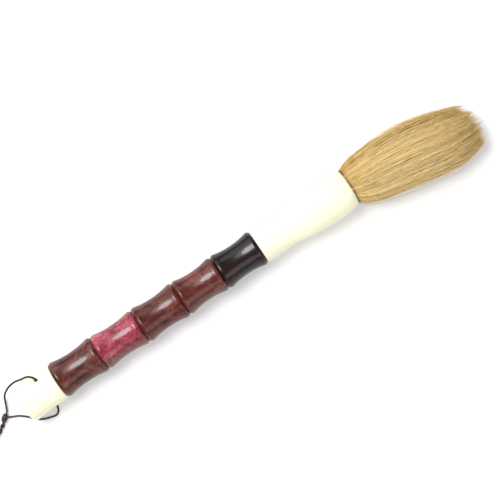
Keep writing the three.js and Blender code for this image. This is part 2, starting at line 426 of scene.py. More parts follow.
class ShapeTree(Tree):
    """A geometry tree with named inputs that makes one kind of piece."""

    def __init__(self, name: str) -> None:
        """Starts an empty tree with its geometry and finish inputs."""
        super().__init__(bpy.data.node_groups.new(name, "GeometryNodeTree"))
        self.entry = self.tree.nodes.new("NodeGroupInput")
        self.keys: dict[str, str] = {}
        self.start = self.socket("Start", "NodeSocketGeometry")
        self.finish = self.socket("Finish", "NodeSocketMaterial")

    def socket(self, name: str, kind: str) -> Field:
        """Adds a named input of the tree."""
        made = self.tree.interface.new_socket(name, in_out="INPUT", socket_type=kind)
        self.keys[name] = made.identifier
        return Field(self, next(s for s in self.entry.outputs if s.identifier == made.identifier))

    def number(self, name: str) -> Field:
        """Adds a named number."""
        return self.socket(name, "NodeSocketFloat")

    def count(self, name: str) -> Field:
        """Adds a named whole number."""
        return self.socket(name, "NodeSocketInt")

    def shape(self, kind: str, inputs: dict[str, Value], **settings: object) -> Field:
        """Adds a node and gives the geometry that it makes, its first output."""
        return Field(self, self.node(kind, inputs, **settings).outputs[0])

    def named(self, name: str, kind: str = "FLOAT") -> Field:
        """Reads a stored attribute."""
        return self.get("GeometryNodeInputNamedAttribute", "Attribute", {"Name": name}, data_type=kind)

    def store(self, shape: Field, name: str, value: Value, domain: str, kind: str = "FLOAT") -> Field:
        """Stores an attribute on a geometry.

        Args:
            shape: The geometry.
            name: The attribute's name.
            value: The attribute's value.
            domain: What holds it, such as POINT or CURVE.
            kind: Its data type.

        Returns:
            The geometry with the attribute.
        """
        inputs = {"Geometry": shape, "Name": name, "Value": value}
        return self.shape("GeometryNodeStoreNamedAttribute", inputs, domain=domain, data_type=kind)

    def joined(self, shapes: Sequence[Field]) -> Field:
        """Joins geometries into one."""
        made = self.node("GeometryNodeJoinGeometry")
        for shape in shapes:
            self.feed(made.inputs[0], shape)
        return Field(self, made.outputs[0])

    def chance(self, seed: Value) -> Field:
        """Gives a random number from 0 to 1 for each element."""
        return self.get("FunctionNodeRandomValue", "Value_001", {"Seed": seed}, data_type="FLOAT")

    def close(self, shape: Field) -> "ShapeTree":
        """Ends the tree: instances made real, and the finish set."""
        real = self.shape("GeometryNodeRealizeInstances", {"Geometry": shape})
        dressed = self.shape("GeometryNodeSetMaterial", {"Geometry": real, "Material": self.finish})
        self.tree.interface.new_socket("Shape", in_out="OUTPUT", socket_type="NodeSocketGeometry")
        leave = self.tree.nodes.new("NodeGroupOutput")
        self.tree.links.new(dressed.socket, leave.inputs[0])
        return self

    def make(
        self,
        name: str,
        finish: bpy.types.Material,
        sizes: dict[str, float | int],
        route: Sequence[Vector] = (),
    ) -> bpy.types.Object:
        """Makes one piece with the tree.

        Args:
            name: The piece's name.
            finish: Its material.
            sizes: The tree's named inputs.
            route: The points of the line that the piece follows, if it follows one.

        Returns:
            A plain mesh object.
        """
        mesh = bpy.data.meshes.new(name)
        links = [(first, first + 1) for first in range(len(route) - 1)]
        mesh.from_pydata([tuple(point) for point in route], links, [])
        made = new_object(name, mesh)
        modifier = made.modifiers.new(self.tree.name, "NODES")
        modifier.node_group = self.tree
        modifier[self.keys["Finish"]] = finish
        for key, size in sizes.items():
            modifier[self.keys[key]] = size
        return freeze(made)


# ---------------------------------------------------------------------------------------------- finishes


class FinishTree(Tree):
    """The shader of one material, on coordinates in millimetres."""

    def __init__(self, name: str, offset: Sequence[float] = (0, 0, 0)) -> None:
        """Starts a material with one Principled shader.

        Args:
            name: The material's name.
            offset: How far the pattern is moved, in millimetres.
        """
        self.material = bpy.data.materials.new(name)
        self.material.use_nodes = True
        super().__init__(self.material.node_tree)
        self.tree.nodes.clear()
        self.shader = self.node("ShaderNodeBsdfPrincipled")
        leave = self.node("ShaderNodeOutputMaterial")
        self.tree.links.new(self.shader.outputs[0], leave.inputs["Surface"])
        place = self.get("ShaderNodeTexCoord", "Object")
        self.place = self.moved(self.scaled(place, 1 / MM), offset)

    def set(self, **inputs: Value) -> None:
        """Sets the shader's sockets, with underscores for spaces in their names."""
        for key, value in inputs.items():
            self.feed(self.shader.inputs[key.replace("_", " ")], value)

    def stretched(self, along: float, across: float) -> Field:
        """Gives the place with one scale along the handle and another across it."""
        x, y, z = self.split(self.place)
        return self.join(x * along, y * across, z * across)

    def noise(self, scale: float, detail: float = 4, at: Field | None = None, **inputs: Value) -> Field:
        """Gives cloudy noise from 0 to 1.

        Args:
            scale: Features to a millimetre.
            detail: How many finer layers it has.
            at: Where it is read, in place of the plain coordinates.
            **inputs: More of the noise's inputs.

        Returns:
            The noise.
        """
        asked = {"Vector": at or self.place, "Scale": scale, "Detail": detail, **inputs}
        return self.get("ShaderNodeTexNoise", "Fac", asked)

    def cells(self, scale: float, at: Field | None = None) -> Field:
        """Gives the distance to the nearest of scattered points."""
        return self.get("ShaderNodeTexVoronoi", "Distance", {"Vector": at or self.place, "Scale": scale})

    def blend(self, share: Value, low: Value, high: Value) -> Field:
        """Mixes two colours."""
        inputs = {"Factor_Float": share}
        for key, colour in (("A_Color", low), ("B_Color", high)):
            inputs[key] = colour if isinstance(colour, Field) else (*colour, 1)
        return self.get("ShaderNodeMix", "Result_Color", inputs, data_type="RGBA")

    def ramp(self, value: Field, stops: Sequence[tuple[float, Colour]]) -> Field:
        """Turns a number into a colour through stops."""
        made = self.node("ShaderNodeValToRGB", {"Fac": value})
        ramp = made.color_ramp
        while len(ramp.elements) < len(stops):
            ramp.elements.new(0.5)
        for element, (at, colour) in zip(ramp.elements, stops):
            element.position = at
            element.color = (*colour, 1)
        return Field(self, made.outputs[0])

    def bump(self, height: Field, strength: float, depth: float) -> None:
        """Roughens the surface.

        Args:
            height: The height, from 0 to 1.
            strength: How much of it shows.
            depth: How deep it is, in millimetres.
        """
        inputs = {"Height": height, "Strength": strength, "Distance": depth * MM}
        self.set(Normal=self.get("ShaderNodeBump", "Normal", inputs))


@dataclass(frozen=True)
class BoneFinish:
    """Pale polished bone, with faint streaks along it, tiny pores and the marks of turning.

    Attributes:
        name: The material's name.
        pale: The colour of most of it.
        warm: The colour of its warmer streaks.
        pore: The colour in its pores.
    """

    name: str
    pale: Colour
    warm: Colour
    pore: Colour

    def build(self) -> bpy.types.Material:
        """Builds the material."""
        tree = FinishTree(self.name)
        streaks = tree.noise(1, 5, tree.stretched(0.045, 0.8), Distortion=0.6)
        clouds = tree.noise(0.07, 3)
        share = tree.ease(streaks * 0.75 + clouds * 0.35, 0.45, 0.75)
        colour = tree.blend(share * 0.8, self.pale, self.warm)
        pores = tree.cells(1, tree.stretched(0.35, 2.6))
        open_here = tree.ease(tree.noise(0.16, 2), 0.5, 0.7)
        pore = (1 - tree.ease(pores, 0.08, 0.2)) * open_here
        colour = tree.blend(pore * 0.55, colour, self.pore)
        x, _, _ = tree.split(tree.place)
        marks = tree.noise(1, 3, tree.join(x * 2.2, 0.0, 0.0))
        tree.set(Base_Color=colour, Roughness=tree.mix(streaks, 0.24, 0.42), Coat_Weight=0.25)
        tree.set(Coat_Roughness=0.12, Subsurface_Weight=0.12, Subsurface_Scale=2 * MM, IOR=1.5)
        tree.set(Subsurface_Radius=(1.0, 0.7, 0.45))
        tree.bump(marks * 0.5 + pore * -0.8 + streaks * 0.3, 0.25, 0.08)
        return tree.material


@dataclass(frozen=True)
class StoneFinish:
    """Polished mottled stone.

    Attributes:
        name: The material's name.
        deep: Its darkest clouds.
        ground: The colour of most of it.
        light: Its lightest clouds.
        patch: The colour of its separate patches.
        fleck: The colour of its small flecks.
        patches: How much of it the patches cover, 0 to 1.
        sides: How much more of them there is on its +Y side and on its -Y side.
        flecks: How much of it has flecks, 0 to 1.
        offset: Which part of the block the bead was cut from, in millimetres.
    """

    name: str
    deep: Colour
    ground: Colour
    light: Colour
    patch: Colour
    fleck: Colour
    patches: float
    sides: tuple[float, float]
    flecks: float
    offset: tuple[float, float, float]

    def build(self) -> bpy.types.Material:
        """Builds the material."""
        tree = FinishTree(self.name, self.offset)
        clouds = tree.noise(0.1, 6, Distortion=0.9, Roughness=0.62)
        colour = tree.ramp(clouds, [(0.3, self.deep), (0.5, self.ground), (0.7, self.light)])
        grey = tree.noise(0.075, 5, tree.moved(tree.place, (37.0, 11.0, 5.0)), Distortion=1.4)
        edge = 0.72 - 0.35 * self.patches
        _, y, _ = tree.split(tree.get("ShaderNodeTexCoord", "Object"))
        left, right = (tree.ease(y, 9 * MM, 14 * MM), tree.ease(y, 2 * MM, -5 * MM))
        grey = grey + left * (0.3 * self.sides[0]) + right * (0.3 * self.sides[1])
        colour = tree.blend(tree.ease(grey, edge, edge + 0.12) * 0.85, colour, self.patch)
        grain = tree.noise(1.1, 4, Roughness=0.7)
        colour = tree.blend(tree.ease(grain, 0.35, 0.75) * 0.45, colour, self.deep)
        spots = tree.cells(1, tree.stretched(0.4, 1.1))
        some = tree.ease(tree.noise(0.22, 3), 0.62 - 0.3 * self.flecks, 0.8 - 0.3 * self.flecks)
        fleck = (1 - tree.ease(spots, 0.16, 0.36)) * some
        colour = tree.blend(fleck * 0.8, colour, self.fleck)
        ridge = tree.math("ABSOLUTE", tree.noise(0.13, 3, Distortion=1.8) - 0.5)
        vein = 1 - tree.ease(ridge, 0.004, 0.022)
        colour = tree.blend(vein * 0.35, colour, self.light)
        tree.set(Base_Color=colour, Roughness=tree.mix(grain, 0.26, 0.4), Coat_Weight=0.42)
        tree.set(Coat_Roughness=0.1, IOR=1.5, Specular_IOR_Level=0.16)
        tree.bump(grain + fleck * -1.0, 0.08, 0.05)
        return tree.material


@dataclass(frozen=True)
class HairFinish:
    """Fine pale hair, darker near the ferrule, with each hair and each lock a little different, and painted
    shade on the hairs deep inside the tuft.

    Attributes:
        name: The material's name.
        root: The colour where the hair leaves the ferrule, and again at its ends.
        body: The colour of most of it.
        gleam: The colour of its palest hairs.
        shade: The colour of the darkest hairs and of the line at the mouth, also used as painted shade deep
            inside the tuft.
    """

    name: str
    root: Colour
    body: Colour
    gleam: Colour
    shade: Colour

    def build(self) -> bpy.types.Material:
        """Builds the material from the attributes that the hairs carry."""
        tree = FinishTree(self.name)
        read = {key: tree.get("ShaderNodeAttribute", "Fac", attribute_name=key) for key in HAIR_ATTRIBUTES}
        along, tint, lock, depth = (read[key] for key in HAIR_ATTRIBUTES)
        ends = (self.shade, self.shade, self.root, self.body, self.body, self.root)
        colour = tree.ramp(along, list(zip((0.0, 0.006, 0.022, 0.2, 0.5, 0.95), ends)))
        broken = tree.ease(tree.noise(1, 2, tree.stretched(0.1, 1.5)), 0.42, 0.58)
        darker = tree.ease(tint, 0.55, 1.0) * 0.25 + tree.ease(lock, 0.45, 0.85) * broken * 0.65
        paler = (1 - tree.ease(lock, 0.1, 0.5)) * (1 - broken * 0.7) * 0.75
        streak = tree.noise(1, 2, tree.stretched(0.17, 3.0))
        darker = darker + tree.ease(streak, 0.54, 0.7) * 0.4
        paler = paler + (1 - tree.ease(streak, 0.32, 0.46)) * 0.35
        colour = tree.blend(darker, colour, self.shade)
        colour = tree.blend(paler, colour, self.gleam)
        # Painted shade: hairs deep inside the tuft are darkened, less so towards the tips.
        inside = tree.ease(depth, 0.05, 0.4) * (1 - tree.ease(along, 0.55, 0.85))
        colour = tree.blend(inside * 0.75, colour, self.shade)
        tree.set(Base_Color=colour, Roughness=tree.mix(tint, 0.38, 0.6), IOR=1.5)
        tree.set(Sheen_Weight=0.15, Sheen_Roughness=0.4, Specular_IOR_Level=0.4)
        tree.bump(tree.noise(7, 2), 0.15, 0.02)
        return tree.material


@dataclass(frozen=True)
class PackedHairFinish:
    """Hair packed too close to tell one from the next, as fine streaks along the tuft, with painted shade in
    the gaps between them.

    Attributes:
        name: The material's name.
        dark: The colour in the gaps, painted shade between the hairs.
        pale: The colour of the hairs.
        rough: How rough the surface is, at least.
    """

    name: str
    dark: Colour
    pale: Colour
    rough: float

    def build(self) -> bpy.types.Material:
        """Builds the material."""
        tree = FinishTree(self.name)
        fine = tree.noise(1, 4, tree.stretched(0.05, 5.0))
        broad = tree.noise(1, 3, tree.stretched(0.03, 0.9))
        share = tree.ease(fine * 0.7 + broad * 0.4, 0.4, 0.75)
        tree.set(Base_Color=tree.blend(share, self.dark, self.pale), IOR=1.5)
        tree.set(Roughness=tree.mix(fine, self.rough, self.rough + 0.2))
        tree.bump(fine, 0.5, 0.1)
        return tree.material


@dataclass(frozen=True)
class CordFinish:
    """Dark waxed thread, with fibres that follow its twist.

    Attributes:
        name: The material's name.
        dark: The colour between its fibres.
        brown: The colour of its fibres.
        wax: How much wax lies on it, 0 to 1.
    """

    name: str
    dark: Colour
    brown: Colour
    wax: float

    def build(self) -> bpy.types.Material:
        """Builds the material from the attributes that a swept cord carries."""
        tree = FinishTree(self.name)
        along = tree.get("ShaderNodeAttribute", "Fac", attribute_name="along")
        around = tree.get("ShaderNodeAttribute", "Fac", attribute_name="around")
        fibre = tree.noise(1, 3, tree.join(around * 14.0, along * 220.0, 0.0))
        worn = tree.noise(0.5, 4)
        share = tree.ease(fibre * 0.6 + worn * 0.5, 0.4, 0.8)
        tree.set(Base_Color=tree.blend(share, self.dark, self.brown), IOR=1.45)
        tree.set(Roughness=tree.mix(worn, 0.45, 0.7), Coat_Weight=self.wax, Coat_Roughness=0.35)
        tree.bump(fibre, 0.6, 0.06)
        return tree.material


@dataclass(frozen=True)
class WoodFinish:
    """Plain straight-grained wood.

    Attributes:
        name: The material's name.
        pale: The colour of its early rings.
        dark: The colour of its late rings.
    """

    name: str
    pale: Colour
    dark: Colour

    def build(self) -> bpy.types.Material:
        """Builds the material."""
        tree = FinishTree(self.name)
        bent = tree.stretched(0.04, 0.5)
        rings = tree.get("ShaderNodeTexWave", "Fac", {"Vector": bent, "Scale": 1.2, "Distortion": 3.0})
        pores = tree.noise(1, 3, tree.stretched(0.2, 6.0))
        share = rings * 0.6 + tree.ease(pores, 0.5, 0.7) * 0.4
        tree.set(Base_Color=tree.blend(share, self.pale, self.dark), Roughness=tree.mix(pores, 0.55, 0.8))
        tree.bump(pores, 0.4, 0.08)
        return tree.material


@dataclass(frozen=True)
class ResinFinish:
    """Old amber resin with dust and bubbles in it.

    Attributes:
        name: The material's name.
        amber: The colour of most of it.
        dark: The colour of its clouds.
    """

    name: str
    amber: Colour
    dark: Colour

    def build(self) -> bpy.types.Material:
        """Builds the material."""
        tree = FinishTree(self.name)
        clouds = tree.noise(0.3, 5, Distortion=1.0)
        bubbles = 1 - tree.ease(tree.cells(1.2), 0.1, 0.25)
        colour = tree.blend(tree.ease(clouds, 0.35, 0.7), self.amber, self.dark)
        tree.set(Base_Color=colour, Roughness=tree.mix(clouds, 0.12, 0.3), IOR=1.53, Coat_Weight=0.3)
        tree.bump(clouds + bubbles * -0.6, 0.3, 0.2)
        return tree.material


HAIR_ATTRIBUTES = ("along", "tint", "lock", "depth")

BONE = BoneFinish("bone", *shades((240, 238, 207), (234, 226, 196), (178, 152, 112)))
# The packed hair inside the tuft is coloured darker than the loose hair, as painted shade.
SHADED_PACKED = PackedHairFinish("packed_hair", *shades((84, 62, 30), (176, 150, 94)), rough=0.55)
SET_HAIR = PackedHairFinish("set_hair", *shades((110, 74, 34), (176, 132, 76)), rough=0.3)
HAIR = HairFinish("loose_hair", *shades((212, 179, 109), (224, 196, 132), (246, 226, 172), (112, 82, 42)))
WAXED = CordFinish("waxed_cord", *shades((20, 12, 9), (58, 38, 28)), wax=0.25)
THREAD = CordFinish("binding_thread", *shades((150, 128, 92), (214, 198, 164)), wax=0.1)
WOOD = WoodFinish("rod_wood", *shades((190, 150, 100), (128, 88, 48)))
RESIN = ResinFinish("root_resin", *shades((150, 92, 30), (74, 40, 12)))


# ------------------------------------------------------------------------------------------------ handle


@dataclass(frozen=True)
class Bead:
    """One turned stone bead: two rounded lips with a hollow waist between them.

    Attributes:
        length: From face to face, in millimetres.
        lip: The radius at the lips.
        waist: The radius at the waist.
        slot: The material slot.
        stone: The finish.
    """

    length: float
    lip: float
    waist: float
    slot: Slot
    stone: StoneFinish


@dataclass(frozen=True)
class StoneBeads:
    """The five stone beads of the handle.

    Attributes:
        start: The station of the first bead's face, in millimetres.
        beads: The beads, from the tail.
        gap: The gap between neighbours.
        bore: The radius of the bore for the rod.
        crest: From a bead's face to the highest point of its lip.
        drop: How far the lip rounds down to the face.
        fall: The exponent of the fall from lip to waist.
        soften: How widely the lip runs into the waist.
    """

    start: float
    beads: tuple[Bead, ...]
    gap: float = 0.04
    bore: float = 4.3
    crest: float = 2.1
    drop: float = 1.5
    fall: float = 2.2
    soften: float = 0.25

    COLUMNS = 72
    SIDES = 144

    def tree(self) -> ShapeTree:
        """Writes the tree that turns a bead's outline about the handle's line.

        Returns:
            The tree, with the bead's sizes as its inputs.
        """
        tree = ShapeTree("turned_bead")
        length, lip, waist = tree.number("Length"), tree.number("Lip"), tree.number("Waist")
        bore, face = tree.number("Bore"), tree.number("Face")
        crest, drop = tree.number("Crest"), tree.number("Drop")
        fall, soften = tree.number("Fall"), tree.number("Soften")

        sheet = {"Size X": 1.0, "Size Y": 1.0, "Vertices X": self.COLUMNS, "Vertices Y": self.SIDES + 1}
        grid = tree.shape("GeometryNodeMeshGrid", sheet)
        across, around, _ = tree.split(tree.get("GeometryNodeInputPosition", "Position"))
        column = (across + 0.5) * (self.COLUMNS - 1)
        angle = (around + 0.5) * TURN

        # The first column and the last two go down to the bore and back along it.
        share = tree.math("MINIMUM", tree.math("MAXIMUM", (column - 1) / (self.COLUMNS - 4), 0.0), 1.0)
        reach = (1 - tree.math("COSINE", share * math.pi)) / 2
        station = face + (length - face * 2) * reach
        inward = tree.math("MINIMUM", station - face, length - face - station)

        hidden = tree.math("MAXIMUM", (crest - inward) / crest, 0.0)
        rounded = lip - drop * (1 - tree.math("SQRT", tree.math("MAXIMUM", 1 - hidden * hidden, 0.0)))
        to_waist = 1 - (inward - crest) / (length / 2 - face - crest)
        hollow = waist + (lip - waist) * to_waist ** fall
        outside = tree.math("SMOOTH_MIN", rounded, hollow, soften)

        first = tree.math("LESS_THAN", column, 0.5)
        closing = tree.math("GREATER_THAN", column, self.COLUMNS - 1.5)
        boring = tree.math("GREATER_THAN", column, self.COLUMNS - 2.5)
        radius = tree.mix(tree.math("MAXIMUM", first, boring), outside, bore)
        station = tree.mix(closing, station, face)
        sideways, down = tree.turned(radius, angle)
        place = tree.join(station, sideways, down * -1.0)
        turned = tree.shape("GeometryNodeSetPosition", {"Geometry": grid, "Position": place})
        return tree.close(tree.shape("GeometryNodeMergeByDistance", {"Geometry": turned, "Distance": 1e-6}))

    def build(self, line: HandleLine) -> None:
        """Turns, polishes and places the beads.

        Args:
            line: The handle's line.
        """
        tree = self.tree()
        station = self.start
        for number, bead in enumerate(self.beads, 1):
            name = f"handle_bead_{number}"
            sizes = {
                "Length": bead.length, "Lip": bead.lip, "Waist": bead.waist, "Bore": self.bore,
                "Face": self.gap / 2, "Crest": self.crest, "Drop": self.drop, "Soften": self.soften,
            }
            metres = {key: size * MM for key, size in sizes.items()}
            made = tree.make(f"stone_bead_{number}", bead.stone.build(), {**metres, "Fall": self.fall})
            line.place(made, station)
            finish_piece(made, Body.HANDLE, bead.slot, name)
            station += bead.length


def finish_piece(made: bpy.types.Object, body: Body, slot: Slot, *replaced: str) -> None:
    """Ties a finished piece to its body, hides the plain nodes that it stands for, and reports it.

    Args:
        made: The piece.
        body: The body that it rides on.
        slot: Its material slot; not used.
        *replaced: The plain nodes that it stands for.
    """
    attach(made, body.value)
    if replaced:
        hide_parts(*replaced)
    LOG.info("%s: %d faces, rides on %s", made.name, len(made.data.polygons), body.value)


def dress(made: bpy.types.Object, finish: bpy.types.Material) -> bpy.types.Object:
    """Gives an object one material."""
    made.data.materials.clear()
    made.data.materials.append(finish)
    return made


@dataclass(frozen=True)
class BoneFittings:
    """The bone cap at the tail and the bone ferrule at the hair.

    Attributes:
        ferrule_start: The station of the ferrule's tail-side face, in millimetres.
        cap_face: The station of the cap's front face.
        hole_station: The station of the cross hole.
        hole_radius: Its radius.
        hole_lean: How far it leans from upright, in degrees.
        cap_outline: (station, radius) pairs of the cap.
        ferrule_outline: (station, radius) pairs of the ferrule, from its own face.
        ferrule_length: The ferrule's length.
    """

    ferrule_start: float
    cap_face: float = 21.97
    hole_station: float = 13.6
    hole_radius: float = 1
    hole_lean: float = 29
    cap_outline: tuple[tuple[float, float], ...] = (
        (0.5, 10.7), (1.5, 11.2), (3.5, 11.3), (9, 10.9), (15, 10.5), (20.4, 10.4), (21.4, 10.2),
    )
    ferrule_outline: tuple[tuple[float, float], ...] = (
        (0.5, 9.75), (1.6, 10), (3.5, 9.92), (9, 9.8), (17, 9.65), (24, 10.5), (31, 11.45), (38, 12.05),
        (44, 12.25), (50, 12.05), (54.4, 11.5), (56.9, 10.7), (57.6, 10.3),
    )
    ferrule_length: float = 57.9

    SIDES = 160
    ROD_BORE = 4.3
    HAIR_BORE = 9.4
    CAP_BORE_DEPTH = 5.55
    ROD_BORE_DEPTH = 14
    HAIR_BORE_DEPTH = 30
    SEAT = 0.03

    def cross_hole(self) -> bpy.types.Object:
        """Makes the drill that cuts the cross hole, a little wider where it breaks the surface.

        Returns:
            The drill, on the handle's line.
        """
        wide, long, breaks, narrows = self.hole_radius * 1.35, 14, 9.9, 0.6
        outline = [
            (-long, 0), (-long, wide), (-breaks - narrows, wide), (-breaks, self.hole_radius),
            (breaks, self.hole_radius), (breaks + narrows, wide), (long, wide), (long, 0),
        ]
        drill = lathe("drill", outline, 40)
        upright = Matrix.Rotation(-math.pi / 2, 4, "Y")
        lean = Matrix.Rotation(-math.radians(self.hole_lean), 4, "X")
        drill.data.transform(Matrix.Translation((self.hole_station * MM, 0, 0)) @ lean @ upright)
        return drill

    def cap(self) -> bpy.types.Object:
        """Turns the tail cap and drills it across."""
        side = smooth_through([Vector((*pair, 0)) for pair in self.cap_outline], 8)
        bore_end = self.cap_face - self.CAP_BORE_DEPTH
        outline = [
            (0, 0), (0, 9.4), (0.05, 9.75), (0.2, 10.2), *((p.x, p.y) for p in side), (self.cap_face, 9.8),
            (self.cap_face, self.ROD_BORE), (bore_end, self.ROD_BORE), (bore_end, 0),
        ]
        cap = lathe("bone_tail_cap", outline, self.SIDES)
        drill = self.cross_hole()
        cut = cap.modifiers.new("cross_hole", "BOOLEAN")
        cut.operation, cut.object, cut.solver = "DIFFERENCE", drill, "EXACT"
        freeze(cap)
        bpy.data.objects.remove(drill)
        return cap

    def ferrule(self) -> bpy.types.Object:
        """Turns the ferrule, bored for the rod behind and for the hair in front."""
        side = smooth_through([Vector((*pair, 0)) for pair in self.ferrule_outline], 8)
        front, bore, rod, deep = self.ferrule_length, self.HAIR_BORE, self.ROD_BORE, self.ROD_BORE_DEPTH
        bottom = front - self.HAIR_BORE_DEPTH
        outline = [
            (deep, 0), (deep, rod), (self.SEAT, rod), (self.SEAT, 9.3), (0.2, 9.6),
            *((p.x, p.y) for p in side), (front - 0.08, 10.05), (front, 9.8), (front - 0.1, 9.55),
            (front - 0.5, bore), (bottom, bore), (bottom, 0),
        ]
        return freeze(lathe("bone_ferrule", outline, self.SIDES))

    def build(self, line: HandleLine) -> None:
        """Makes both pieces in bone and places them.

        Args:
            line: The handle's line.
        """
        bone = BONE.build()
        cap = dress(line.place(self.cap()), bone)
        finish_piece(cap, Body.HANDLE, Slot.BONE, "tail_cap")
        ferrule = dress(line.place(self.ferrule(), self.ferrule_start), bone)
        finish_piece(ferrule, Body.HANDLE, Slot.BONE, "ferrule")


@dataclass(frozen=True)
class InnerPieces:
    """What the handle hides: the rod, the resin, the set root of the tuft and its binding.

    Attributes:
        binding_start: The station where the binding starts, in millimetres.
        binding_length: How much of the root it covers.
        binding_radius: The radius of the middle of its thread.
        thread: The thread's diameter.
    """

    binding_start: float
    binding_length: float = 6
    binding_radius: float = 8.2
    thread: float = 0.8

    def build(self, line: HandleLine, nodes: dict[str, bpy.types.Object]) -> None:
        """Dresses the plain inner pieces and winds the binding.

        Args:
            line: The handle's line.
            nodes: The plain nodes by name.
        """
        inner = {"centre_rod": WOOD, "root_resin": RESIN, "hair_root": SET_HAIR}
        for name, finish in inner.items():
            dress(nodes[name], finish.build())
            LOG.info("%s: dressed", name)
        turns = self.binding_length / self.thread
        sizes = {
            "Turns": turns, "Length": (self.binding_length - self.thread) * MM,
            "Ends": self.binding_radius * MM, "Middle": self.binding_radius * MM,
            "Thread": self.thread / 2 * MM,
        }
        winding = winding_tree(round(turns * 40)).make("thread_binding", THREAD.build(), sizes)
        line.place(winding, self.binding_start + self.binding_length / 2)
        finish_piece(winding, Body.HANDLE, Slot.THREAD, "root_binding")


# ------------------------------------------------------------------------------------------------- cords


def round_section(tree: ShapeTree, radius: Field, points: int, lobes: int) -> Field:
    """Draws the section of a cord.

    Args:
        tree: The tree that it is drawn in.
        radius: The largest radius.
        points: How many points it has.
        lobes: How many plies show in its outline.

    Returns:
        The closed outline, with each point's share of the way round stored.
    """
    circle = tree.shape("GeometryNodeCurvePrimitiveCircle", {"Resolution": points, "Radius": radius})
    index = tree.get("GeometryNodeInputIndex", "Index")
    around = index / points
    groove = tree.math("COSINE", around * (TURN * lobes)) * 0.07 + 0.93
    place = tree.get("GeometryNodeInputPosition", "Position")
    shaped = {"Geometry": circle, "Position": tree.scaled(place, groove)}
    outline = tree.shape("GeometryNodeSetPosition", shaped)
    return tree.store(outline, "around", around, "POINT")


def sweep(tree: ShapeTree, path: Field, section: Field) -> Field:
    """Sweeps a section along a path, with the distance along it stored and its ends closed."""
    along = tree.get("GeometryNodeSplineParameter", "Length")
    ready = tree.store(path, "along", along, "POINT")
    swept = {"Curve": ready, "Profile Curve": section, "Fill Caps": True}
    return tree.shape("GeometryNodeCurveToMesh", swept)


def winding_tree(points: int) -> ShapeTree:
    """Writes the tree that winds a thread about the X axis, as on a binding or round a knot.

    Args:
        points: How many points the thread's line has.

    Returns:
        The tree. Its radius goes from Ends to Middle and back.
    """
    tree = ShapeTree("wound_thread")
    turns, length = tree.number("Turns"), tree.number("Length")
    ends, middle, thread = tree.number("Ends"), tree.number("Middle"), tree.number("Thread")
    straight = tree.shape("GeometryNodeCurvePrimitiveLine", {"Start": (0, 0, 0), "End": (1, 0, 0)})
    fine = tree.shape("GeometryNodeResampleCurve", {"Curve": straight, "Count": points})
    share = tree.get("GeometryNodeSplineParameter", "Factor")
    middling = tree.math("SINE", share * math.pi)
    radius = tree.mix(middling, ends, middle)
    angle = share * turns * TURN
    place = tree.join((share - 0.5) * length, *tree.turned(radius, angle))
    wound = tree.shape("GeometryNodeSetPosition", {"Geometry": fine, "Position": place})
    return tree.close(sweep(tree, wound, round_section(tree, thread, 12, 3)))


